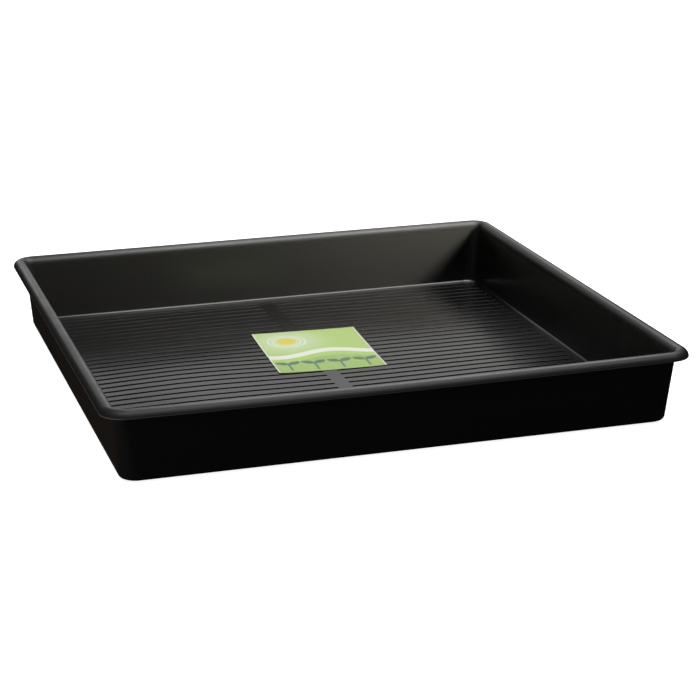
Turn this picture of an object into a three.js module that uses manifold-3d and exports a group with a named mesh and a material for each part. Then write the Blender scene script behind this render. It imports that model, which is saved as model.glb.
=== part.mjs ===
// Square growing tray: one formed plastic sheet with a rolled rim and a grooved floor,
// and a printed label that lies on the floor.
// Millimetres, +Z up. The origin is the middle of the plane that the tray stands on.
import * as THREE from 'three';
import { mergeVertices } from 'three/addons/utils/BufferGeometryUtils.js';
import Module from 'manifold-3d';

// Tray
const trayWidth = 1000; // across the rim, along X
const trayDepth = 1000; // across the rim, along Y
const trayHeight = 131.5; // standing plane to the top of the rim
const sheet = 2.5; // thickness of the formed sheet

// Rolled rim
const rimWidth = 25; // outside of the lip to the inside of the wall
const rimRise = 13.5; // trimmed edge of the lip to the top of the rim
const rimCorner = 40; // corner radius round the outside of the lip

// Walls
const wallFoot = 32; // inside of the wall at the floor, in from the outside of the rim
const footFillet = 5; // inside radius between wall and floor
const footCorner = 34; // inside corner radius of the wall at the floor

// Floor grooves, in two columns either side of a plain strip
const grooveDepth = 3;
const grooveMouth = 8.5; // width at the floor
const grooveBed = 7.5; // width at the bottom
const grooveCorner = 3; // radius of the groove's blunt ends at the floor
const bedCorner = 2.5; // the same at the bottom
const groovePitch = 24.3; // row to row, along Y
const stripWidth = 26; // plain floor between the two columns
const endMargin = 9; // plain floor between the groove ends and the wall's fillet
const rowMargin = 37; // least plain floor between the outermost row's middle and the fillet, unshifted
const rowShift = 6; // how far all the rows lie towards the back

// Label
const labelWidth = 203;
const labelDepth = 246;
const labelThickness = 0.5;
const labelCorner = 2;
const labelGap = 0.3; // clearance to the floor
const labelX = 13; // middle of the label from the middle of the floor
const labelY = 95;
const labelTurn = -2.4; // degrees about +Z

// Smoothness of the round stretches
const wallCornerSteps = 10;
const filletSteps = 4;
const rimSteps = 10;
const grooveCornerSteps = 2;
const ridgeCornerSteps = 1;
const cutOver = 1; // how far a groove cutter stands above the floor

// Levels and reaches that follow from the sizes above
const floorUnder = grooveDepth;
const floorTop = floorUnder + sheet;
const rimSpring = trayHeight - rimRise;
const floorHalfX = trayWidth / 2 - wallFoot - footFillet;
const floorHalfY = trayDepth / 2 - wallFoot - footFillet;
const grooveRun = (grooveMouth - grooveBed) / 2;
const grooveRows = Math.floor((2 * (floorHalfY - rowMargin)) / groovePitch) + 1;

const wasm = await Module();
wasm.setup();

// A level rounded rectangle, counter-clockwise from above.
function ring(halfX, halfY, corner, z, steps) {
  const points = [];
  const centres = [
    [halfX - corner, halfY - corner],
    [corner - halfX, halfY - corner],
    [corner - halfX, corner - halfY],
    [halfX - corner, corner - halfY],
  ];
  centres.forEach(([x, y], quarter) => {
    for (let step = 0; step <= steps; step += 1) {
      const angle = ((quarter + step / steps) * Math.PI) / 2;
      points.push(new THREE.Vector3(x + corner * Math.cos(angle), y + corner * Math.sin(angle), z));
    }
  });
  return points;
}

// A closed skin through rings of equal point count. The rings run from the upper cap,
// whose face looks up, round the section to the lower cap, whose face looks down.
function loft(rings) {
  const count = rings[0].length;
  const positions = rings.flat().flatMap((point) => point.toArray());
  const faces = [];
  for (let level = 0; level + 1 < rings.length; level += 1) {
    for (let side = 0; side < count; side += 1) {
      const here = level * count + side;
      const next = level * count + ((side + 1) % count);
      faces.push(here, here + count, next, next, here + count, next + count);
    }
  }
  const last = (rings.length - 1) * count;
  for (let side = 1; side + 1 < count; side += 1) {
    faces.push(0, side, side + 1);
    faces.push(last, last + side + 1, last + side);
  }
  const geometry = new THREE.BufferGeometry();
  geometry.setAttribute('position', new THREE.Float32BufferAttribute(positions, 3));
  geometry.setIndex(faces);
  return mergeVertices(geometry);
}

function solidOf(geometry) {
  const vertProperties = new Float32Array(geometry.getAttribute('position').array);
  const triVerts = new Uint32Array(geometry.getIndex().array);
  return new wasm.Manifold(new wasm.Mesh({ numProp: 3, vertProperties, triVerts }));
}

function geometryOf(solid) {
  const { vertProperties, triVerts } = solid.getMesh();
  const geometry = new THREE.BufferGeometry();
  geometry.setAttribute('position', new THREE.BufferAttribute(vertProperties, 3));
  geometry.setIndex(new THREE.BufferAttribute(triVerts, 1));
  geometry.computeVertexNormals();
  return geometry;
}

// Section points on an ellipse, as inset from the outside of the rim and height.
// Angles are in degrees: 0 points inwards along the floor and 90 points up.
function arc(inset, z, reach, rise, from, to, steps) {
  return Array.from({ length: steps + 1 }, (_, step) => {
    const angle = THREE.MathUtils.degToRad(from + ((to - from) * step) / steps);
    return { inset: inset + reach * Math.cos(angle), z: z + rise * Math.sin(angle) };
  });
}

// The tray's sheet: both skins of the rim share one corner centre, and so do both skins
// of the foot, so the sheet keeps its thickness round the corners.
function traySheet() {
  const footInset = wallFoot + footFillet;
  const footZ = floorTop + footFillet;
  const footOuter = footFillet + sheet;
  const rimHalf = rimWidth / 2;
  const rimStations = [
    ...arc(rimHalf, rimSpring, rimHalf, rimRise, 0, 180, rimSteps),
    ...arc(rimHalf, rimSpring, rimHalf - sheet, rimRise - sheet, 180, 0, rimSteps),
  ];
  const insideFoot = arc(footInset, footZ, footFillet, footFillet, 270, 180, filletSteps);
  const outsideFoot = arc(footInset, footZ, footOuter, footOuter, 180, 270, filletSteps);
  const at = (stations, span) =>
    stations.map(({ inset, z }) =>
      ring(trayWidth / 2 - inset, trayDepth / 2 - inset, span - inset, z, wallCornerSteps),
    );
  const footSpan = footCorner + wallFoot;
  return loft([...at(insideFoot, footSpan), ...at(rimStations, rimCorner), ...at(outsideFoot, footSpan)]);
}

// Middles of the grooves, column by column.
function groovePlaces() {
  const outerEnd = floorHalfX - endMargin;
  const innerEnd = stripWidth / 2;
  const places = [];
  for (const side of [-1, 1]) {
    for (let row = 0; row < grooveRows; row += 1) {
      const y = (row - (grooveRows - 1) / 2) * groovePitch + rowShift;
      places.push({ x: (side * (innerEnd + outerEnd)) / 2, y, halfLength: (outerEnd - innerEnd) / 2 });
    }
  }
  return places;
}

// One bar with sloping sides, widening upwards at the groove's own slope from `foot`.
function slopedBar(place, foot, footRadius, low, high, radius, steps) {
  const grow = ((high - low) * grooveRun) / grooveDepth;
  const halfLength = place.halfLength - grooveRun + foot - grooveBed / 2;
  const rings = [
    ring(halfLength + grow, foot + grow, radius, high, steps),
    ring(halfLength, foot, footRadius, low, steps),
  ];
  return solidOf(loft(rings).translate(place.x, place.y, 0));
}

// The formed floor: each groove stands out below the floor as a ridge of the same sheet.
function formedTray() {
  const slope = Math.atan2(grooveDepth, grooveRun);
  const ridgeFoot = grooveBed / 2 + sheet * Math.tan(slope / 2);
  const bedLevel = floorTop - grooveDepth;
  let tray = solidOf(traySheet());
  for (const place of groovePlaces()) {
    const ridgeTop = floorUnder + sheet / 2;
    const ridge = slopedBar(place, ridgeFoot, grooveCorner, 0, ridgeTop, grooveCorner, ridgeCornerSteps);
    tray = tray.add(ridge);
  }
  for (const place of groovePlaces()) {
    const cutTop = floorTop + cutOver;
    const cutter = slopedBar(place, grooveBed / 2, bedCorner, bedLevel, cutTop, grooveCorner, grooveCornerSteps);
    tray = tray.subtract(cutter);
  }
  return geometryOf(tray);
}

function labelSheet() {
  const outline = (z) => ring(labelWidth / 2, labelDepth / 2, labelCorner, z, grooveCornerSteps);
  return loft([outline(labelThickness), outline(0)]);
}

const blackPlastic = new THREE.MeshStandardMaterial({ color: 0x1d1d1e, roughness: 0.42, metalness: 0 });
const printedCard = new THREE.MeshStandardMaterial({ color: 0xb6d68a, roughness: 0.5, metalness: 0 });

const tray = new THREE.Mesh(formedTray(), blackPlastic);
tray.name = 'tray';

const label = new THREE.Mesh(labelSheet(), printedCard);
label.name = 'label';
label.position.set(labelX, labelY, floorTop + labelGap);
label.rotation.z = THREE.MathUtils.degToRad(labelTurn);

const growingTray = new THREE.Group();
growingTray.add(tray, label);

export default growingTray;
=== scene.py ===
"""Dress a square growing tray: a formed black sheet with a grooved floor, and a printed label in it.

Metres, +Z up. The origin is the middle of the plane that the tray stands on, +X runs along the
front rim to the right and +Y runs from the front rim to the back rim.
"""

import logging
import math
from collections.abc import Iterable, Sequence
from dataclasses import dataclass
from enum import Enum

import bmesh
import bpy
from mathutils import Matrix, Vector


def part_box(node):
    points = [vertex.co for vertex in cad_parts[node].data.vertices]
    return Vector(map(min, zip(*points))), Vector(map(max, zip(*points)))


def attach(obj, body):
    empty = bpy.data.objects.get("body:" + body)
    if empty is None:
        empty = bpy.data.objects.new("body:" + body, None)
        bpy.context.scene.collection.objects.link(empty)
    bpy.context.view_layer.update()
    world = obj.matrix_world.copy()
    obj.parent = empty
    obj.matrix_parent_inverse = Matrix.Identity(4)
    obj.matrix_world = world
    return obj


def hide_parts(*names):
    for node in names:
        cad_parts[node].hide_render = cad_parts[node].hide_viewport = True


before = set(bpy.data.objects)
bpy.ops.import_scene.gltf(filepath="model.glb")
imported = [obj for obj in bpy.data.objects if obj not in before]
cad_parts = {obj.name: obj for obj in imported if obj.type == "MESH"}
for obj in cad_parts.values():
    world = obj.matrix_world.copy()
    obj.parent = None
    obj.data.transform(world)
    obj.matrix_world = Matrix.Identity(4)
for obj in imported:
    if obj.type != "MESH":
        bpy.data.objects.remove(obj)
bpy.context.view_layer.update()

log = logging.getLogger("growing_tray")

MM = 0.001
BODY = "root"

Point = tuple[float, float]
Span = tuple[float, float]
Triple = tuple[float, float, float]
Colour = tuple[float, float, float, float]
Feed = bpy.types.NodeSocket | float | int | Colour | Triple


def grey(level: float) -> Colour:
    """A neutral colour of one linear level."""
    return (level, level, level, 1.0)


class Ink(Enum):
    """Colours of the label's print, as linear red, green, blue and cover."""

    PAPER = (0.75, 0.79, 0.66, 1.0)
    LIME = (0.36, 0.545, 0.095, 1.0)
    PALE_LIME = (0.40, 0.575, 0.14, 1.0)
    LEAF = (0.005, 0.10, 0.04, 1.0)
    MEADOW = (0.25, 0.41, 0.06, 1.0)
    SUN = (0.72, 0.58, 0.02, 1.0)


class Skin(Enum):
    """The two faces of the formed sheet."""

    UPPER = "upper"
    LOWER = "lower"


class Wiring:
    """Adds nodes to one tree and joins them."""

    def __init__(self, tree: bpy.types.NodeTree) -> None:
        """Empty the tree and keep it."""
        self.tree = tree
        tree.nodes.clear()

    def feed(self, socket: bpy.types.NodeSocket, value: Feed) -> None:
        """Join an output to an input, or set the input's own value.

        Args:
            socket: the input.
            value: an output socket, or a plain value.
        """
        if isinstance(value, bpy.types.NodeSocket):
            self.tree.links.new(value, socket)
        else:
            socket.default_value = value

    def add(
        self, kind: str, inputs: dict[str | int, Feed] | None = None, **settings: object
    ) -> bpy.types.Node:
        """Add one node.

        Args:
            kind: Blender's name for the type of node.
            inputs: sockets or values for its inputs, by name or by place.
            settings: properties of the node itself.

        Returns:
            The new node.
        """
        node = self.tree.nodes.new(kind)
        for name, value in settings.items():
            setattr(node, name, value)
        for name, value in (inputs or {}).items():
            self.feed(node.inputs[name], value)
        return node

    def math(self, operation: str, *values: Feed) -> bpy.types.NodeSocket:
        """Add a Math node.

        Args:
            operation: Blender's name for the operation.
            values: one to three inputs.

        Returns:
            Its result.
        """
        return self.add("ShaderNodeMath", dict(enumerate(values)), operation=operation).outputs[0]

    def fade(
        self, value: Feed, low: float, high: float, start: float = 0.0, end: float = 1.0
    ) -> bpy.types.NodeSocket:
        """Ease from `start` to `end` while a value goes from `low` to `high`.

        Args:
            value: the driving value.
            low: where the change starts.
            high: where it ends.
            start: the result before it.
            end: the result after it.

        Returns:
            The eased value.
        """
        inputs = {"Value": value, "From Min": low, "From Max": high, "To Min": start, "To Max": end}
        return self.add("ShaderNodeMapRange", inputs, interpolation_type="SMOOTHSTEP").outputs[0]

    def mix(self, share: Feed, under: Feed, over: Feed) -> bpy.types.NodeSocket:
        """Lay one colour over another.

        Args:
            share: how much of the upper colour shows.
            under: the lower colour.
            over: the upper colour.

        Returns:
            The mixed colour.
        """
        return self.add("ShaderNodeMix", {0: share, 6: under, 7: over}, data_type="RGBA").outputs[2]

    def noise(self, place: Feed, scale: float, detail: float = 2.0) -> bpy.types.NodeSocket:
        """Add a noise pattern.

        Args:
            place: where the pattern is read.
            scale: waves per unit of the place.
            detail: finer layers of the noise.

        Returns:
            A value about 0.5.
        """
        return self.add("ShaderNodeTexNoise", {"Vector": place, "Scale": scale, "Detail": detail}).outputs[0]

    def stretched(self, place: Feed, scale: Triple) -> bpy.types.NodeSocket:
        """Squeeze or stretch the place that a pattern is read at, axis by axis."""
        return self.add("ShaderNodeMapping", {"Vector": place, "Scale": scale}).outputs[0]

    def bump(self, height: Feed, distance: float, under: Feed | None = None) -> bpy.types.NodeSocket:
        """Raise a surface by a pattern.

        Args:
            height: the pattern, from 0 to 1.
            distance: how high 1 stands, in metres.
            under: an earlier bump to build on.

        Returns:
            The bumped normal.
        """
        inputs = {"Height": height, "Distance": distance}
        if under is not None:
            inputs["Normal"] = under
        return self.add("ShaderNodeBump", inputs).outputs[0]

    def surface(self, inputs: dict[str | int, Feed]) -> None:
        """Add the shader with its inputs, and the material's output."""
        shader = self.add("ShaderNodeBsdfPrincipled", inputs)
        self.add("ShaderNodeOutputMaterial", {"Surface": shader.outputs[0]})


def new_material(name: str) -> tuple[bpy.types.Material, Wiring]:
    """Make an empty node material.

    Args:
        name: the material's name.

    Returns:
        The material and the wiring of its tree.
    """
    made = bpy.data.materials.new(name)
    made.use_nodes = True
    return made, Wiring(made.node_tree)


@dataclass(frozen=True)
class BlackPlastic:
    """Satin black sheet with a fine grain, slow waves, a duller rim, walls painted lighter towards the rim
    as painted light, a painted highlight on the cut edge and a little dust.
    """

    colour: Colour = grey(0.0048)
    # Painted light: the walls' colour grows lighter towards the rim, standing in for more light on the upper
    # walls.
    top_light_painted_colour: Colour = (0.0060, 0.0060, 0.0058, 1.0)
    # Painted highlight: the lip's cut edge is painted paler, standing in for the light that its rounded edge
    # catches.
    edge_highlight_painted_colour: Colour = (0.08, 0.08, 0.077, 1.0)
    dust_colour: Colour = (0.20, 0.19, 0.17, 1.0)
    gloss: float = 0.17
    dullness: float = 0.24
    rim_dullness: float = 0.20
    wall_low: float = 30.0 * MM
    rim_low: float = 112.0 * MM
    rim_high: float = 122.0 * MM
    specular: float = 0.42
    smear_stretch: Triple = (3.0, 14.0, 9.0)
    smear_detail: float = 4.0
    smear_range: Span = (0.30, 0.70)
    specks_per_metre: float = 42.0
    speck_edge: Span = (0.018, 0.045)
    patches_per_metre: float = 5.0
    patch_range: Span = (0.54, 0.70)
    dust_share: float = 0.5
    wave: float = 1.2 * MM
    waves_per_metre: float = 3.2
    wave_detail: float = 1.0
    ripple: float = 0.03 * MM
    ripples_per_metre: float = 110.0
    grain: float = 0.012 * MM
    grains_per_metre: float = 1300.0
    edge_name: str = "cut_edge"

    def material(self) -> bpy.types.Material:
        """Make the material.

        Returns:
            A node material that reads object coordinates and the mark on the cut edge.
        """
        made, wires = new_material("black_plastic")
        place = wires.add("ShaderNodeTexCoord").outputs["Object"]
        height = wires.add("ShaderNodeSeparateXYZ", {0: place}).outputs[2]
        smear = wires.noise(wires.stretched(place, self.smear_stretch), 1.0, self.smear_detail)
        sheen = wires.fade(smear, *self.smear_range, self.gloss, self.dullness)
        duller = wires.fade(height, self.rim_low, self.rim_high, 0.0, self.rim_dullness)
        specks = wires.add("ShaderNodeTexVoronoi", {"Vector": place, "Scale": self.specks_per_metre})
        dust = wires.fade(specks.outputs["Distance"], *self.speck_edge, 1.0, 0.0)
        patchy = wires.fade(wires.noise(place, self.patches_per_metre), *self.patch_range)
        dusty = wires.math("MULTIPLY", dust, patchy)
        # Painted light: the walls are painted lighter from wall_low up to rim_low.
        painted_lighter_top = wires.mix(wires.fade(height, self.wall_low, self.rim_low), self.colour, self.top_light_painted_colour)
        cut = wires.add("ShaderNodeAttribute", attribute_name=self.edge_name).outputs["Fac"]
        # Painted highlight: where the cut edge is marked, the colour is swapped for the paler highlight
        # colour.
        with_painted_edge_highlight = wires.mix(cut, painted_lighter_top, self.edge_highlight_painted_colour)
        slow = wires.bump(wires.noise(place, self.waves_per_metre, self.wave_detail), self.wave)
        orange_peel = wires.bump(wires.noise(place, self.ripples_per_metre), self.ripple, slow)
        wires.surface({
            "Base Color": wires.mix(wires.math("MULTIPLY", dusty, self.dust_share), with_painted_edge_highlight, self.dust_colour),
            "Roughness": wires.math("ADD", sheen, duller),
            "Specular IOR Level": self.specular,
            "Normal": wires.bump(wires.noise(place, self.grains_per_metre), self.grain, orange_peel),
        })
        return made


@dataclass(frozen=True)
class PrintedCard:
    """Semi-gloss card with a garden scene: a sun, a pale path and a row of seedlings."""

    width: float
    depth: float
    edge: float = 2.6 * MM
    soft: float = 0.5 * MM
    sun_x: float = -46.0 * MM
    sun_y: float = 62.0 * MM
    sun_radius: float = 19.0 * MM
    halo_radius: float = 40.0 * MM
    ring_pitch: float = 9.0 * MM
    ring_share: float = 0.8
    glow_radius: float = 104.0 * MM
    glow_share: float = 0.45
    path_y: float = -18.0 * MM
    path_swing: float = 15.0 * MM
    path_width: float = 22.0 * MM
    path_phase: float = 0.9
    meadow_drop: float = 34.0 * MM
    meadow_share: float = 0.75
    seedling_pitch: float = 49.0 * MM
    pitches_before: float = 10.5
    seedling_foot: float = -114.0 * MM
    stem_height: float = 38.0 * MM
    stem_half: float = 1.9 * MM
    leaf_x: float = 11.0 * MM
    leaf_y: float = 44.0 * MM
    leaf_long: float = 15.0 * MM
    leaf_wide: float = 8.0 * MM
    leaf_turn: float = 36.0
    leaf_edge: Span = (0.95, 1.05)
    flecks: float = 90.0
    fleck_share: float = 0.10
    smears: float = 14.0
    roughness: Span = (0.29, 0.40)
    noise_detail: float = 3.0
    noise_range: Span = (0.3, 0.7)
    fibre: float = 0.02 * MM
    fibres: float = 420.0

    def inside(self, wires: Wiring, distance: Feed, reach: float) -> bpy.types.NodeSocket:
        """A mask that is 1 where a distance is under `reach`, with a soft edge."""
        return wires.fade(distance, reach - self.soft / 2, reach + self.soft / 2, 1.0, 0.0)

    def seedlings(self, wires: Wiring, x: Feed, y: Feed) -> bpy.types.NodeSocket:
        """Draw a row of stems that carry two leaves each.

        Args:
            wires: the tree.
            x: metres across the label, from its middle.
            y: metres up the label, from its middle.

        Returns:
            A mask of the row.
        """
        from_start = wires.math("ADD", x, self.pitches_before * self.seedling_pitch)
        aside = wires.math("PINGPONG", from_start, self.seedling_pitch / 2)
        up = wires.math("SUBTRACT", y, self.seedling_foot)
        turn = math.radians(self.leaf_turn)
        sine = math.sin(turn)
        cosine = math.cos(turn)
        from_x = wires.math("SUBTRACT", aside, self.leaf_x)
        from_y = wires.math("SUBTRACT", up, self.leaf_y)
        along = wires.math("MULTIPLY_ADD", from_x, cosine, wires.math("MULTIPLY", from_y, sine))
        across = wires.math("MULTIPLY_ADD", from_y, cosine, wires.math("MULTIPLY", from_x, -sine))
        long_way = wires.math("DIVIDE", along, self.leaf_long)
        wide_way = wires.math("DIVIDE", across, self.leaf_wide)
        blade = wires.math("MULTIPLY_ADD", long_way, long_way, wires.math("ABSOLUTE", wide_way))
        leaf = wires.fade(blade, *self.leaf_edge, 1.0, 0.0)
        mid_stem = wires.math("ABSOLUTE", wires.math("SUBTRACT", up, self.stem_height / 2))
        stem_wide = self.inside(wires, aside, self.stem_half)
        stem = wires.math("MULTIPLY", stem_wide, self.inside(wires, mid_stem, self.stem_height / 2))
        return wires.math("MAXIMUM", leaf, stem)

    def material(self) -> bpy.types.Material:
        """Make the material.

        Returns:
            A node material that reads the label's own UV map.
        """
        made, wires = new_material("printed_card")
        spot = wires.add("ShaderNodeUVMap", uv_map=PrintedLabel.uv_name).outputs[0]
        parts = wires.add("ShaderNodeSeparateXYZ", {0: spot})
        x = wires.math("MULTIPLY", wires.math("SUBTRACT", parts.outputs[0], 0.5), self.width)
        y = wires.math("MULTIPLY", wires.math("SUBTRACT", parts.outputs[1], 0.5), self.depth)

        upwards = wires.fade(y, -self.depth / 2, self.depth / 2)
        ground = wires.mix(upwards, Ink.LIME.value, Ink.PALE_LIME.value)
        sun_x = wires.math("SUBTRACT", x, self.sun_x)
        sun_y = wires.math("SUBTRACT", y, self.sun_y)
        far_squared = wires.math("MULTIPLY_ADD", sun_x, sun_x, wires.math("MULTIPLY", sun_y, sun_y))
        far = wires.math("POWER", far_squared, 0.5)
        rings = self.inside(wires, wires.math("PINGPONG", far, self.ring_pitch / 2), self.ring_pitch / 4)
        halo = wires.math("MULTIPLY", self.inside(wires, far, self.halo_radius), rings)
        glow = wires.fade(far, self.sun_radius, self.glow_radius, self.glow_share, 0.0)
        shine = wires.math("MAXIMUM", glow, wires.math("MULTIPLY", halo, self.ring_share))
        lit = wires.mix(shine, ground, Ink.PAPER.value)
        sunny = wires.mix(self.inside(wires, far, self.sun_radius), lit, Ink.SUN.value)

        swing = wires.math("SINE", wires.math("MULTIPLY_ADD", x, math.tau / self.width, self.path_phase))
        path_middle = wires.math("MULTIPLY_ADD", swing, self.path_swing, self.path_y)
        off_path = wires.math("SUBTRACT", y, path_middle)
        below = wires.math("ADD", off_path, self.meadow_drop)
        grassy = wires.fade(below, -self.soft, self.soft, self.meadow_share, 0.0)
        meadow = wires.mix(grassy, sunny, Ink.MEADOW.value)
        path = self.inside(wires, wires.math("ABSOLUTE", off_path), self.path_width / 2)
        walked = wires.mix(path, meadow, Ink.PAPER.value)
        planted = wires.mix(self.seedlings(wires, x, y), walked, Ink.LEAF.value)

        from_edge = wires.math("SUBTRACT", self.width / 2, wires.math("ABSOLUTE", x))
        framed = wires.mix(self.inside(wires, from_edge, self.edge), planted, Ink.PAPER.value)
        fleck = wires.noise(spot, self.flecks, self.noise_detail)
        flecked = wires.fade(fleck, *self.noise_range, 0.0, self.fleck_share)
        smear = wires.noise(spot, self.smears, self.noise_detail)
        wires.surface({
            "Base Color": wires.mix(flecked, framed, Ink.PAPER.value),
            "Roughness": wires.fade(smear, *self.noise_range, *self.roughness),
            "Normal": wires.bump(wires.noise(spot, self.fibres), self.fibre),
        })
        return made


@dataclass(frozen=True)
class PaleFloor:
    """Matt pale paper under the tray."""

    colour: Colour = grey(0.70)
    mottle_colour: Colour = grey(0.65)
    mottles_per_metre: float = 2.0
    mottle_range: Span = (0.2, 0.8)
    mottle_share: float = 0.03
    lift: float = 0.93

    def material(self) -> bpy.types.Material:
        """Make the material.

        Returns:
            A node material with a faint mottle.
        """
        made, wires = new_material("pale_floor")
        place = wires.add("ShaderNodeTexCoord").outputs["Object"]
        patches = wires.noise(place, self.mottles_per_metre)
        mottle = wires.fade(patches, *self.mottle_range, 0.0, self.mottle_share)
        wires.surface({
            "Base Color": wires.mix(mottle, self.colour, self.mottle_colour),
            "Roughness": 1.0,
            "Specular IOR Level": 0.0,
            "Emission Color": grey(1.0),
            "Emission Strength": self.lift,
        })
        return made


def round_corner(half_x: float, half_y: float, radius: float, steps: int) -> list[Point]:
    """The right back corner of a rounded rectangle, counter-clockwise.

    Args:
        half_x: half its width.
        half_y: half its depth.
        radius: the corner's radius.
        steps: straight steps in the corner.

    Returns:
        The corner's points.
    """
    angles = [math.pi / 2 * step / steps for step in range(steps + 1)]
    middle_x = half_x - radius
    middle_y = half_y - radius
    return [(middle_x + radius * math.cos(a), middle_y + radius * math.sin(a)) for a in angles]


def square_corner(half_x: float, half_y: float, start_y: float, end_x: float, steps: int) -> list[Point]:
    """The right back corner of a plain rectangle, with as many points as a round one.

    Args:
        half_x: half its width.
        half_y: half its depth.
        start_y: where the points start on the right side.
        end_x: where they end on the back side.
        steps: an even number of straight steps.

    Returns:
        The corner's points, with the middle one in the corner itself.
    """
    shares = [2 * step / steps for step in range(steps + 1)]
    rise = [min(share, 1.0) for share in shares]
    run = [max(share - 1.0, 0.0) for share in shares]
    return [
        (half_x + (end_x - half_x) * along, start_y + (half_y - start_y) * up)
        for up, along in zip(rise, run)
    ]


def closed_loop(corner: Sequence[Point], z: float, runs: tuple[int, int]) -> list[Vector]:
    """Mirror one corner into a level closed loop, counter-clockwise from above.

    Args:
        corner: the right back corner, from the right side to the back side.
        z: the loop's level.
        runs: straight steps along each side that runs in X, and in Y.

    Returns:
        The loop's points.
    """
    back = list(reversed(corner))
    quarters = [
        list(corner),
        [(-x, y) for x, y in back],
        [(-x, -y) for x, y in corner],
        [(x, -y) for x, y in back],
    ]
    points = []
    for quarter, place in enumerate(quarters):
        points.extend(place)
        start = Vector(place[-1])
        end = Vector(quarters[(quarter + 1) % 4][0])
        steps = runs[quarter % 2]
        points.extend(start.lerp(end, step / steps) for step in range(1, steps))
    return [Vector((point[0], point[1], z)) for point in points]


def eased_bend(place: Point, before: Point, after: Point, radius: float, steps: int) -> list[Point]:
    """Round one corner of a section line.

    Args:
        place: the sharp corner.
        before: the direction of the line that comes in.
        after: the direction of the line that goes out.
        radius: the radius of the round.
        steps: straight steps in the round.

    Returns:
        Points from one tangent to the other.
    """
    inward = Vector(before).normalized()
    outward = Vector(after).normalized()
    turn = inward.angle_signed(outward)
    reach = radius * math.tan(abs(turn) / 2)
    start = Vector(place) - inward * reach
    side = Vector((-inward.y, inward.x)) * (-1 if turn > 0 else 1)
    middle = start + side * radius
    points = []
    for step in range(steps + 1):
        spoke = start - middle
        spoke.rotate(Matrix.Rotation(-turn * step / steps, 2))
        points.append(tuple(middle + spoke))
    return points


class SheetMesh:
    """A mesh made of level loops and the faces between them."""

    def __init__(self, mesh: bpy.types.Mesh | None = None) -> None:
        """Start from nothing or from a finished mesh.

        Args:
            mesh: the finished mesh, if any.
        """
        self.work = bmesh.new()
        if mesh is not None:
            self.work.from_mesh(mesh)

    def loop(self, points: Iterable[Vector]) -> list[bmesh.types.BMVert]:
        """Add the points of one loop."""
        return [self.work.verts.new(point) for point in points]

    def strip(self, first: list[bmesh.types.BMVert], second: list[bmesh.types.BMVert]) -> None:
        """Join two loops of equal count with quads.

        Args:
            first: the loop that comes first on the way round the section.
            second: the loop that follows it.
        """
        count = len(first)
        for here in range(count):
            ahead = (here + 1) % count
            self.work.faces.new((first[here], first[ahead], second[ahead], second[here]))

    def loft(self, loops: Iterable[list[Vector]]) -> list[list[bmesh.types.BMVert]]:
        """Join loops of equal count in order.

        Args:
            loops: the loops, in the order that the section runs.

        Returns:
            The loops' vertices.
        """
        made = [self.loop(points) for points in loops]
        for first, second in zip(made, made[1:]):
            self.strip(first, second)
        return made

    def lace(self, first: list[bmesh.types.BMVert], second: list[bmesh.types.BMVert]) -> None:
        """Join two loops round the origin that differ in count, with triangles.

        Args:
            first: the loop that comes first on the way round the section.
            second: the loop that follows it.
        """
        def turn(vert: bmesh.types.BMVert) -> float:
            """How far round the origin a vertex lies."""
            return math.atan2(vert.co.y, vert.co.x) % math.tau

        rounds = []
        for verts in (first, second):
            ordered = sorted(verts, key=turn)
            turns = [turn(vert) for vert in ordered]
            rounds.append((ordered + ordered[:1], turns + [turns[0] + math.tau]))
        (ahead, ahead_turn), (behind, behind_turn) = rounds
        i = 0
        j = 0
        while i + 1 < len(ahead) or j + 1 < len(behind):
            behind_done = j + 1 == len(behind)
            if behind_done or (i + 1 < len(ahead) and ahead_turn[i + 1] <= behind_turn[j + 1]):
                self.work.faces.new((ahead[i], ahead[i + 1], behind[j]))
                i += 1
            else:
                self.work.faces.new((ahead[i], behind[j + 1], behind[j]))
                j += 1

    def weld(self, distance: float) -> None:
        """Merge vertices that lie closer than a distance."""
        bmesh.ops.remove_doubles(self.work, verts=self.work.verts, dist=distance)

    def open_edge(self) -> set[bmesh.types.BMVert]:
        """Vertices on the open edges."""
        return {vert for edge in self.work.edges if edge.is_boundary for vert in edge.verts}

    def finish(self, name: str) -> bpy.types.Mesh:
        """Make the mesh, smooth-shaded, and drop the work copy.

        Args:
            name: the mesh's name.

        Returns:
            The mesh.
        """
        mesh = bpy.data.meshes.new(name)
        for face in self.work.faces:
            face.smooth = True
        self.work.to_mesh(mesh)
        self.work.free()
        return mesh


def add_object(name: str, mesh: bpy.types.Mesh) -> bpy.types.Object:
    """Link a mesh to the scene as an object at the origin.

    Args:
        name: the object's name.
        mesh: its mesh.

    Returns:
        The object.
    """
    made = bpy.data.objects.new(name, mesh)
    bpy.context.scene.collection.objects.link(made)
    return made


@dataclass(frozen=True)
class Swell:
    """A soft rise or hollow that forming leaves in the floor."""

    x: float
    y: float
    reach: float
    height: float

    def rise_at(self, x: float, y: float) -> float:
        """How far this swell lifts the floor at a point."""
        away = ((x - self.x) ** 2 + (y - self.y) ** 2) / self.reach**2
        return self.height * math.exp(-away / 2)


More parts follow.
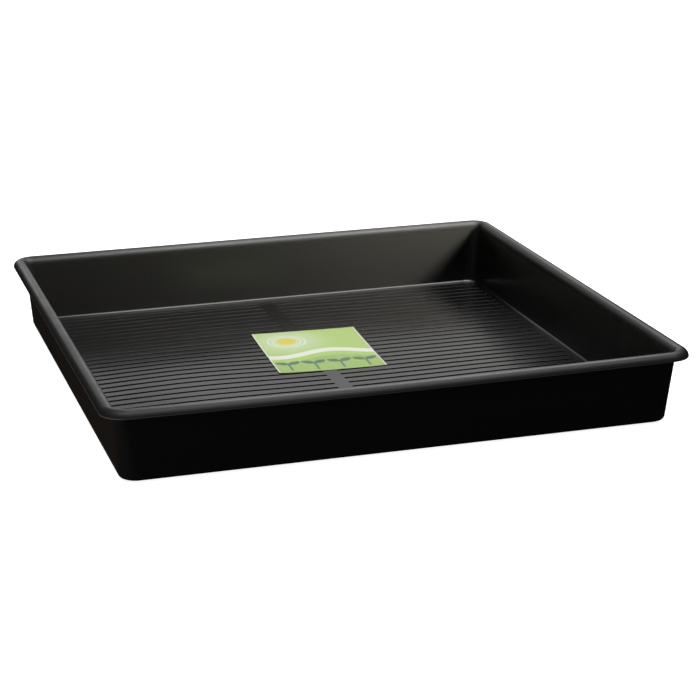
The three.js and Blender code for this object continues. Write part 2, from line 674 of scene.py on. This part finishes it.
@dataclass
class GrooveField:
    """The floor's two columns of pressed grooves, which stand out below as ridges."""

    half_y: float
    column_half: float
    floor_top: float
    sheet: float
    finish: bpy.types.Material
    depth: float = 3.0 * MM
    mouth: float = 8.5 * MM
    bed: float = 7.5 * MM
    bed_corner: float = 2.5 * MM
    pitch: float = 24.3 * MM
    strip_half: float = 13.0 * MM
    end_margin: float = 6.0 * MM
    row_margin: float = 37.0 * MM
    row_shift: float = 6.0 * MM
    bed_round: float = 0.8 * MM
    lip_round: float = 0.3 * MM
    ridge_round: float = 1.6 * MM
    flat_guard: float = 0.7 * MM
    low_steps: int = 3
    high_steps: int = 4
    corner_steps: int = 4
    length_steps: int = 10
    weld: float = 0.02 * MM
    columns: int = 2

    @property
    def rows(self) -> int:
        """Rows that fit between the fillets."""
        return int(2 * (self.half_y - self.row_margin) / self.pitch) + 1

    @property
    def slope_run(self) -> float:
        """How far a groove's side leans over its depth."""
        return (self.mouth - self.bed) / 2

    def pressed_section(self, skin: Skin) -> list[Point]:
        """One side of a groove's section, as growth beyond the bed's outline and height.

        Args:
            skin: which face of the sheet.

        Returns:
            Points from the flat of the bed to the flat of the floor.
        """
        top = self.floor_top
        start = 0.0
        low_round = self.bed_round
        high_round = self.lip_round
        if skin is Skin.LOWER:
            top -= self.sheet
            start = self.sheet * math.tan(math.atan2(self.depth, self.slope_run) / 2)
            low_round = self.ridge_round
            high_round = self.bed_round
        level = (1.0, 0.0)
        slope = (self.slope_run, self.depth)
        low = eased_bend((start, top - self.depth), level, slope, low_round, self.low_steps)
        high = eased_bend((start + self.slope_run, top), slope, level, high_round, self.high_steps)
        flat_in = (low[0][0] - self.flat_guard, low[0][1])
        flat_out = (high[-1][0] + self.flat_guard, high[-1][1])
        return [flat_in, *low, *high, flat_out]

    @property
    def half_length(self) -> float:
        """Half a groove's length at the floor."""
        return self.column_half - (self.strip_half + self.end_margin) / 2

    def groove_points(self, corner: Sequence[Point], z: float) -> list[Vector]:
        """A loop about the groove's own middle, which lies off the middle of its cell."""
        shift = Vector(((self.strip_half - self.end_margin) / 2, 0.0, 0.0))
        return [point + shift for point in closed_loop(corner, z, (self.length_steps, 1))]

    def groove_loop(self, grow: float, z: float) -> list[Vector]:
        """The groove's outline, grown all round from its bed.

        Args:
            grow: how far it lies outside the bed's outline.
            z: its level.

        Returns:
            The outline's points.
        """
        half_x = self.half_length - self.slope_run + grow
        corner = round_corner(half_x, self.bed / 2 + grow, self.bed_corner + grow, self.corner_steps)
        return self.groove_points(corner, z)

    def spine_loop(self, z: float) -> list[Vector]:
        """The line along the middle of the bed, as a loop that folds onto itself."""
        corner = [(self.half_length - self.mouth / 2, 0.0)] * (self.corner_steps + 1)
        return self.groove_points(corner, z)

    def cell_edge(self, inner: Point, z: float) -> list[Vector]:
        """The rectangle that one groove takes up, point for point with the groove's outline.

        Args:
            inner: where the groove's outermost outline starts to round its corners.
            z: the rectangle's level.

        Returns:
            The rectangle's points.
        """
        end_x, start_y = inner
        corner = square_corner(self.column_half, self.pitch / 2, start_y, end_x, self.corner_steps)
        return closed_loop(corner, z, (self.length_steps, 1))

    def cell(self) -> bpy.types.Mesh:
        """Both skins of the floor round one groove.

        Returns:
            A mesh that meets its neighbours point for point.
        """
        sheet = SheetMesh()
        for skin in Skin:
            section = self.pressed_section(skin)
            grow, level = section[-1]
            radius = self.bed_corner + grow
            last_x = self.half_length - self.slope_run + grow - radius
            last_y = self.bed / 2 + grow - radius
            loops = [self.spine_loop(section[0][1])]
            loops += [self.groove_loop(wide, z) for wide, z in section]
            loops.append(self.cell_edge((last_x, last_y), level))
            if skin is Skin.UPPER:
                loops.reverse()
            sheet.loft(loops)
        sheet.weld(self.weld)
        return sheet.finish("groove_cell")

    def pattern(self) -> bpy.types.NodeTree:
        """A Geometry Nodes tree that repeats a cell in rows and columns and welds the copies.

        Returns:
            The tree, with named inputs for the counts, the pitches, the weld and the finish.
        """
        tree = bpy.data.node_groups.new("groove_field", "GeometryNodeTree")
        wires = Wiring(tree)
        sockets = {
            "Cell": "NodeSocketGeometry",
            "Columns": "NodeSocketInt",
            "Rows": "NodeSocketInt",
            "Column Pitch": "NodeSocketFloat",
            "Row Pitch": "NodeSocketFloat",
            "Row Shift": "NodeSocketFloat",
            "Weld Distance": "NodeSocketFloat",
            "Finish": "NodeSocketMaterial",
        }
        for name, kind in sockets.items():
            tree.interface.new_socket(name, in_out="INPUT", socket_type=kind)
        tree.interface.new_socket("Floor", in_out="OUTPUT", socket_type="NodeSocketGeometry")
        given = wires.add("NodeGroupInput").outputs
        gaps_x = wires.math("SUBTRACT", given["Columns"], 1.0)
        gaps_y = wires.math("SUBTRACT", given["Rows"], 1.0)
        grid = wires.add("GeometryNodeMeshGrid", {
            "Size X": wires.math("MULTIPLY", gaps_x, given["Column Pitch"]),
            "Size Y": wires.math("MULTIPLY", gaps_y, given["Row Pitch"]),
            "Vertices X": given["Columns"],
            "Vertices Y": given["Rows"],
        })
        back = wires.add("ShaderNodeCombineXYZ", {1: given["Row Shift"]})
        points = wires.add("GeometryNodeTransform", {
            "Geometry": grid.outputs[0],
            "Translation": back.outputs[0],
        })
        place = wires.add("GeometryNodeInputPosition").outputs[0]
        across = wires.add("ShaderNodeSeparateXYZ", {0: place}).outputs[0]
        half_turn = wires.math("MULTIPLY", wires.math("LESS_THAN", across, 0.0), math.pi)
        about_z = wires.add("ShaderNodeCombineXYZ", {2: half_turn})
        turned = wires.add("FunctionNodeEulerToRotation", {0: about_z.outputs[0]})
        copies = wires.add("GeometryNodeInstanceOnPoints", {
            "Points": points.outputs[0],
            "Instance": given["Cell"],
            "Rotation": turned.outputs[0],
        })
        real = wires.add("GeometryNodeRealizeInstances", {0: copies.outputs[0]})
        welded = wires.add("GeometryNodeMergeByDistance", {
            "Geometry": real.outputs[0],
            "Distance": given["Weld Distance"],
        })
        dressed = wires.add("GeometryNodeSetMaterial", {
            "Geometry": welded.outputs[0],
            "Material": given["Finish"],
        })
        wires.add("NodeGroupOutput", {0: dressed.outputs[0]})
        return tree

    def build(self) -> bpy.types.Mesh:
        """Repeat the cell over the floor.

        Returns:
            A plain mesh of both skins, open at its outer edge.
        """
        holder = add_object("groove_cell", self.cell())
        modifier = holder.modifiers.new("rows", "NODES")
        modifier.node_group = self.pattern()
        values = {
            "Columns": self.columns,
            "Rows": self.rows,
            "Column Pitch": 2 * self.column_half,
            "Row Pitch": self.pitch,
            "Row Shift": self.row_shift,
            "Weld Distance": self.weld,
            "Finish": self.finish,
        }
        for item in modifier.node_group.interface.items_tree:
            if item.in_out == "INPUT" and item.name in values:
                modifier[item.identifier] = values[item.name]
        seen = holder.evaluated_get(bpy.context.evaluated_depsgraph_get())
        field = bpy.data.meshes.new_from_object(seen)
        holder.modifiers.clear()
        bpy.data.objects.remove(holder)
        return field


@dataclass
class FormedTray:
    """One formed sheet: a grooved floor, drafted walls and a rolled rim."""

    half_x: float
    half_y: float
    height: float
    finish: bpy.types.Material
    sheet: float = 2.5 * MM
    floor_under: float = 3.0 * MM
    wall_foot: float = 32.0 * MM
    foot_fillet: float = 5.0 * MM
    foot_corner: float = 28.0 * MM
    rim_width: float = 25.0 * MM
    rim_rise: float = 13.5 * MM
    rim_corner: float = 40.0 * MM
    swells: tuple[Swell, ...] = (
        Swell(x=-255 * MM, y=15 * MM, reach=110 * MM, height=5.6 * MM),
        Swell(x=-60 * MM, y=380 * MM, reach=190 * MM, height=4.6 * MM),
        Swell(x=310 * MM, y=-120 * MM, reach=80 * MM, height=1.4 * MM),
    )
    swell_margin: float = 70.0 * MM
    front_sag: float = 3.1 * MM
    sag_fullness: float = 1.4
    cut_reach: float = 2.625 * MM
    cut_rise: float = 1.275 * MM
    flat_guard: float = 1.2 * MM
    edge_room: float = 3.0 * MM
    rim_steps: int = 26
    fillet_steps: int = 9
    lip_steps: int = 6
    corner_steps: int = 14
    side_steps: int = 12
    wall_steps: int = 5

    @property
    def floor_top(self) -> float:
        """Level of the lands between the grooves."""
        return self.floor_under + self.sheet

    @property
    def foot_inset(self) -> float:
        """Where the floor's flat ends, in from the outside of the rim."""
        return self.wall_foot + self.foot_fillet

    def rise_at(self, x: float, y: float) -> float:
        """How far the formed floor lies above or below its nominal plane at a point.

        Args:
            x: place along X.
            y: place along Y.

        Returns:
            The rise in metres, which fades out towards the walls.
        """
        from_wall_x = min(max(self.half_x - self.foot_inset - abs(x), 0.0) / self.swell_margin, 1.0)
        from_wall_y = min(max(self.half_y - self.foot_inset - abs(y), 0.0) / self.swell_margin, 1.0)
        share = from_wall_x * from_wall_y
        return share**2 * (3 - 2 * share) * sum(swell.rise_at(x, y) for swell in self.swells)

    def sag_at(self, place: Vector) -> float:
        """How far the front wall hangs at a point, most in the middle of its rim.

        Args:
            place: a point of the tray.

        Returns:
            The drop in metres, which is nothing on the floor and on the other walls.
        """
        if place.y > self.foot_inset - self.half_y:
            return 0.0
        along = max(1 - (place.x / self.half_x) ** 2, 0.0)
        return self.front_sag * along**self.sag_fullness * (place.z / self.height) ** 2

    def arc(self, inset: float, z: float, reach: Point, sweep: Point, steps: int) -> list[Point]:
        """Section points on an ellipse, as inset from the outside of the rim and height.

        Args:
            inset: the ellipse's middle, in from the outside of the rim.
            z: the middle's height.
            reach: the half axes, inwards and up.
            sweep: first and last angle in degrees, where 0 points inwards and 90 points up.
            steps: straight steps.

        Returns:
            The points.
        """
        first, last = (math.radians(angle) for angle in sweep)
        angles = [first + (last - first) * step / steps for step in range(steps + 1)]
        return [(inset + reach[0] * math.cos(a), z + reach[1] * math.sin(a)) for a in angles]

    def wall(self, low: Point, high: Point) -> list[Point]:
        """Section points on a straight wall, with one close to each end so that the rest stays flat.

        Args:
            low: the wall's foot.
            high: the wall's top.

        Returns:
            The points between the two ends, upwards.
        """
        start = Vector(low)
        end = Vector(high)
        guard = self.flat_guard / (end - start).length
        shares = [guard + (1 - 2 * guard) * step / self.wall_steps for step in range(self.wall_steps + 1)]
        return [tuple(start.lerp(end, share)) for share in shares]

    def section(self) -> list[Triple]:
        """The wall and rim from the floor's underside over the rim to the floor's upper side.

        Returns:
            Inset, height and plan corner radius of each station.
        """
        foot_z = self.floor_top + self.foot_fillet
        inner = self.foot_fillet
        outer = inner + self.sheet
        spring = self.height - self.rim_rise
        half = self.rim_width / 2
        hollow = (half - self.sheet, self.rim_rise - self.sheet)
        lip_rise = self.sheet / 2
        under_turn = math.degrees(math.asin(lip_rise / hollow[1]))
        over_turn = math.degrees(math.asin(lip_rise / self.rim_rise))

        outside_foot = self.arc(self.foot_inset, foot_z, (outer, outer), (270, 180), self.fillet_steps)
        under_rim = self.arc(half, spring, hollow, (0, 180 - under_turn), self.rim_steps)
        over_rim = self.arc(half, spring, (half, self.rim_rise), (180 - over_turn, 0), self.rim_steps)
        lip_middle = (under_rim[-1][0] + over_rim[0][0]) / 2
        lip_reach = (under_rim[-1][0] - over_rim[0][0]) / 2
        lip = self.arc(lip_middle, spring + lip_rise, (lip_reach, lip_rise), (0, -180), self.lip_steps)[1:-1]
        inside_foot = self.arc(self.foot_inset, foot_z, (inner, inner), (180, 270), self.fillet_steps)
        outer_wall = self.wall(outside_foot[-1], under_rim[0])
        inner_wall = self.wall(inside_foot[0], over_rim[-1])[::-1]

        foot_span = self.foot_corner + self.wall_foot
        guard = self.foot_inset + self.flat_guard
        rim_span = self.rim_corner
        spring_rise = spring - foot_z

        def span_at(z: float) -> float:
            """The plan radius that a wall corner would have at the outside of the rim."""
            return foot_span + (rim_span - foot_span) * (z - foot_z) / spring_rise

        stations = [(guard, self.floor_under, foot_span - guard)]
        stations += [(inset, z, foot_span - inset) for inset, z in outside_foot]
        stations += [(inset, z, span_at(z) - inset) for inset, z in outer_wall]
        stations += [(inset, z, rim_span - inset) for inset, z in under_rim + lip + over_rim]
        stations += [(inset, z, span_at(z) - inset) for inset, z in inner_wall]
        stations += [(inset, z, foot_span - inset) for inset, z in inside_foot]
        stations.append((guard, self.floor_top, foot_span - guard))
        return stations

    def station_loop(self, inset: float, z: float, radius: float) -> list[Vector]:
        """One level loop of the wall."""
        corner = round_corner(self.half_x - inset, self.half_y - inset, radius, self.corner_steps)
        return closed_loop(corner, z, (self.side_steps, self.side_steps))

    def build(self) -> bpy.types.Object:
        """Make the tray's mesh and dress it.

        Returns:
            The tray.
        """
        column_half = (self.half_x - self.foot_inset - self.edge_room) / 2
        field = GrooveField(
            half_y=self.half_y - self.foot_inset,
            column_half=column_half,
            floor_top=self.floor_top,
            sheet=self.sheet,
            finish=self.finish,
        )
        sheet = SheetMesh(field.build())
        cut_edge = sheet.work.verts.layers.float.new(BlackPlastic.edge_name)
        edge = sheet.open_edge()
        middle_level = self.floor_top - self.sheet / 2
        upper_edge = [vert for vert in edge if vert.co.z > middle_level]
        lower_edge = [vert for vert in edge if vert.co.z < middle_level]
        stations = self.section()
        walls = sheet.loft(self.station_loop(*station) for station in stations)
        # Mark the lip's cut edge, where the plastic's material paints a highlight.
        cut_top = self.height - self.rim_rise + self.cut_rise
        for (inset, z, _), loop in zip(stations, walls):
            if inset < self.cut_reach and z < cut_top:
                for vert in loop:
                    vert[cut_edge] = 1.0
        sheet.weld(field.weld)
        sheet.lace(lower_edge, [vert for vert in walls[0] if vert.is_valid])
        sheet.lace([vert for vert in walls[-1] if vert.is_valid], upper_edge)
        for vert in sheet.work.verts:
            vert.co.z += self.rise_at(vert.co.x, vert.co.y) - self.sag_at(vert.co)
        open_edges = len(sheet.open_edge())
        mesh = sheet.finish("formed_tray")
        # The grooved floor's faces come with another slot number than the walls'. Clearing makes them one.
        mesh.materials.clear()
        mesh.materials.append(self.finish)
        log.info("tray sheet: %d faces, %d open edge points", len(mesh.polygons), open_edges)
        return add_object("formed_tray", mesh)


@dataclass
class PrintedLabel:
    """A printed card that lies on the floor across the plain strip."""

    tray: FormedTray
    middle_x: float
    middle_y: float
    width: float = 203.0 * MM
    depth: float = 246.0 * MM
    thickness: float = 0.4 * MM
    gap: float = 0.25 * MM
    corner: float = 2.0 * MM
    turn: float = -2.4
    lift: float = 0.9 * MM
    curl_power: int = 4
    corner_steps: int = 4
    side_steps: int = 16
    rings: int = 12
    ring_crowding: float = 1.6
    weld: float = 0.01 * MM
    uv_name: str = "print"

    def card_loop(self, inset: float, z: float) -> list[Vector]:
        """The card's outline, drawn in all round.

        Args:
            inset: how far it is drawn in.
            z: its level on the flat card.

        Returns:
            The outline's points.
        """
        half_x = self.width / 2 - inset
        half_y = self.depth / 2 - inset
        corner = round_corner(half_x, half_y, min(self.corner, half_x), self.corner_steps)
        return closed_loop(corner, z, (self.side_steps, self.side_steps))

    def settle(self, place: Vector) -> Vector:
        """Lay one point of the flat card on the domed floor, with the corners a little up.

        Args:
            place: a point of the card, from the middle of its underside.

        Returns:
            The point in the tray's frame.
        """
        to_corner = abs(place.x) / (self.width / 2) * abs(place.y) / (self.depth / 2)
        laid = Matrix.Rotation(math.radians(self.turn), 3, "Z") @ place
        laid += Vector((self.middle_x, self.middle_y, self.tray.floor_top + self.gap))
        laid.z += self.tray.rise_at(laid.x, laid.y) + self.lift * to_corner**self.curl_power
        return laid

    def build(self) -> bpy.types.Object:
        """Make the card's mesh with its UV map and dress it.

        Returns:
            The label.
        """
        sheet = SheetMesh()
        shares = [(step / self.rings) ** self.ring_crowding for step in range(self.rings + 1)]
        insets = [self.width / 2 * share for share in shares]
        under = [self.card_loop(inset, 0.0) for inset in reversed(insets)]
        over = [self.card_loop(inset, self.thickness) for inset in insets]
        sheet.loft(under + over)
        sheet.weld(self.weld)
        uv = sheet.work.loops.layers.uv.new(self.uv_name)
        for face in sheet.work.faces:
            for loop in face.loops:
                flat = loop.vert.co
                loop[uv].uv = (flat.x / self.width + 0.5, flat.y / self.depth + 0.5)
        for vert in sheet.work.verts:
            vert.co = self.settle(vert.co)
        mesh = sheet.finish("laid_label")
        mesh.materials.append(PrintedCard(self.width, self.depth).material())
        log.info("label: %d faces", len(mesh.polygons))
        return add_object("laid_label", mesh)


@dataclass(frozen=True)
class Lamp:
    """An oblong lamp with an even glow, which the camera doesn't see."""

    name: str
    place: Triple
    aim: Triple
    size: tuple[float, float]
    power: float
    colour: Triple = (1.0, 1.0, 1.0)
    spread: float = 180.0

    def hang(self, mirrored: bool, receivers: Sequence[bpy.types.Object] = ()) -> None:
        """Hang the lamp.

        Args:
            mirrored: whether it shows in shiny faces only, or lights matt faces only.
            receivers: the only objects that it lights, or none for all.
        """
        data = bpy.data.lights.new(self.name, "AREA")
        data.shape = "RECTANGLE"
        data.size, data.size_y = self.size
        data.energy = self.power
        data.color = self.colour
        data.spread = math.radians(self.spread)
        lamp = bpy.data.objects.new(self.name, data)
        lamp.location = self.place
        lamp.rotation_euler = (Vector(self.aim) - Vector(self.place)).to_track_quat("-Z", "Y").to_euler()
        lamp.visible_camera = False
        lamp.visible_glossy = mirrored
        lamp.visible_diffuse = not mirrored
        bpy.context.scene.collection.objects.link(lamp)
        if receivers:
            lit = bpy.data.collections.new(f"lit_by_{self.name}")
            for piece in receivers:
                lit.objects.link(piece)
            lamp.light_linking.receiver_collection = lit


@dataclass
class Studio:
    """Pale floor, soft light and the camera."""

    lens: float = 104.474
    sensor: float = 36.0
    camera_place: Triple = (-0.9915, -3.4154, 1.1487)
    yaw: float = 16.923
    pitch: float = 17.374
    roll: float = 0.461
    floor_half: float = 30.0
    front_dim: Colour = grey(0.20)
    back_dim: Colour = grey(0.05)
    zenith: Colour = grey(0.5)
    ground_front: Colour = grey(0.020)
    ground_back: Colour = (0.015, 0.011, 0.009, 1.0)
    back_span: Span = (-0.3, 0.3)
    overhead_span: Span = (0.3, 0.97)
    horizon_span: Span = (-0.03, 0.03)
    mirrored: tuple[Lamp, ...] = (
        Lamp("backdrop", (0.475, 3.0, 0.7), (0.475, 0.0, 0.7), (2.4, 1.6), 8.52),
        Lamp("left_panel", (-0.55, 2.95, 0.68), (-0.5, 1.67, 0.0), (0.9, 0.6), 0.5, spread=44.0),
        Lamp("low_panel", (0.8, 2.95, 0.1), (0.8, 0.0, 0.1), (1.3, 0.5), 2.2),
        Lamp("high_panel", (1.05, 3.0, 2.05), (1.05, 0.0, 2.05), (1.5, 1.1), 7.8),
        Lamp("softbox", (0.5, 0.35, 1.25), (0.5, 0.35, 0.0), (1.3, 1.0), 21.0),
        Lamp("back_light", (0.5, -0.2, 1.25), (0.5, 0.55, 0.1), (1.3, 0.7), 4.5, spread=80.0),
        Lamp("front_light", (0.1, -1.05, 1.6), (0.1, -1.05, 0.0), (2.6, 1.1), 17.5),
        Lamp("left_light", (0.05, -2.0, 1.45), (-0.3, -0.5, 0.13), (0.9, 1.3), 2.7),
    )
    fill: Lamp = Lamp("fill", (0.1, 0.3, 1.6), (0.1, 0.3, 0.0), (2.6, 2.6), 40.0)
    key: Lamp = Lamp(
        "key", (0.90, -0.20, 0.51), (0.27, 0.46, 0.08), (0.16, 0.16), 27.3, (1.0, 0.96, 0.84), spread=90.0
    )
    side: Lamp = Lamp("side", (-2.0, -0.7, 0.09), (-0.5, -0.3, 0.09), (1.2, 0.12), 20.0)

    def add_camera(self) -> None:
        """Stand the camera where the tray is seen from its front left."""
        yaw, pitch, roll = (math.radians(angle) for angle in (self.yaw, self.pitch, self.roll))
        flat = math.cos(pitch)
        ahead = Vector((math.sin(yaw) * flat, math.cos(yaw) * flat, -math.sin(pitch)))
        level = ahead.cross(Vector((0, 0, 1))).normalized()
        down = ahead.cross(level)
        right = math.cos(roll) * level + math.sin(roll) * down
        up = math.sin(roll) * level - math.cos(roll) * down
        data = bpy.data.cameras.new("camera")
        data.sensor_width = self.sensor
        data.lens = self.lens
        camera = bpy.data.objects.new("camera", data)
        turn = Matrix((right, up, -ahead)).transposed()
        camera.matrix_world = Matrix.LocRotScale(Vector(self.camera_place), turn, None)
        bpy.context.scene.collection.objects.link(camera)
        bpy.context.scene.camera = camera

    def add_floor(self) -> bpy.types.Object:
        """Lay the pale floor, which lights and mirrors nothing on the tray.

        Returns:
            The floor.
        """
        half = self.floor_half
        corners = [(-half, -half, 0), (half, -half, 0), (half, half, 0), (-half, half, 0)]
        mesh = bpy.data.meshes.new("floor")
        mesh.from_pydata(corners, [], [(0, 1, 2, 3)])
        mesh.materials.append(PaleFloor().material())
        floor = add_object("floor", mesh)
        floor.visible_glossy = False
        floor.visible_diffuse = False
        return floor

    def add_surroundings(self) -> None:
        """Shade the room: dim all round, lighter overhead, dark below, and white to the camera."""
        world = bpy.data.worlds.new("studio")
        world.use_nodes = True
        bpy.context.scene.world = world
        wires = Wiring(world.node_tree)
        way = wires.add("ShaderNodeTexCoord").outputs["Generated"]
        parts = wires.add("ShaderNodeSeparateXYZ", {0: way})
        behind = wires.fade(parts.outputs[1], *self.back_span)
        level = wires.mix(behind, self.front_dim, self.back_dim)
        room = wires.mix(wires.fade(parts.outputs[2], *self.overhead_span), level, self.zenith)
        ground = wires.mix(behind, self.ground_front, self.ground_back)
        lit = wires.mix(wires.fade(parts.outputs[2], *self.horizon_span), ground, room)
        seen = wires.add("ShaderNodeLightPath").outputs["Is Camera Ray"]
        shader = wires.add("ShaderNodeBackground", {"Color": wires.mix(seen, lit, grey(1.0))})
        wires.add("ShaderNodeOutputWorld", {"Surface": shader.outputs[0]})

    def build(self, tray: bpy.types.Object, label: bpy.types.Object) -> None:
        """Set up the whole studio.

        Args:
            tray: the tray, whose walls the key and the side lamp light.
            label: the label, which the fill lights together with the floor.
        """
        self.add_camera()
        floor = self.add_floor()
        self.add_surroundings()
        for lamp in self.mirrored:
            lamp.hang(mirrored=True)
        self.fill.hang(mirrored=False, receivers=(label, floor))
        self.key.hang(mirrored=False, receivers=(tray,))
        self.side.hang(mirrored=False, receivers=(tray,))
        bpy.context.scene.view_settings.view_transform = "Standard"


def main() -> None:
    """Build the tray, the label and the studio."""
    logging.basicConfig(level=logging.INFO, format="%(name)s: %(message)s")
    _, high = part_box("tray")
    tray = FormedTray(half_x=high.x, half_y=high.y, height=high.z, finish=BlackPlastic().material())
    tray_piece = tray.build()
    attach(tray_piece, BODY)
    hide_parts("tray")

    low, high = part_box("label")
    label = PrintedLabel(tray=tray, middle_x=(low.x + high.x) / 2, middle_y=(low.y + high.y) / 2)
    label_piece = label.build()
    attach(label_piece, BODY)
    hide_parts("label")

    Studio().build(tray_piece, label_piece)


if __name__ == "__main__":
    main()
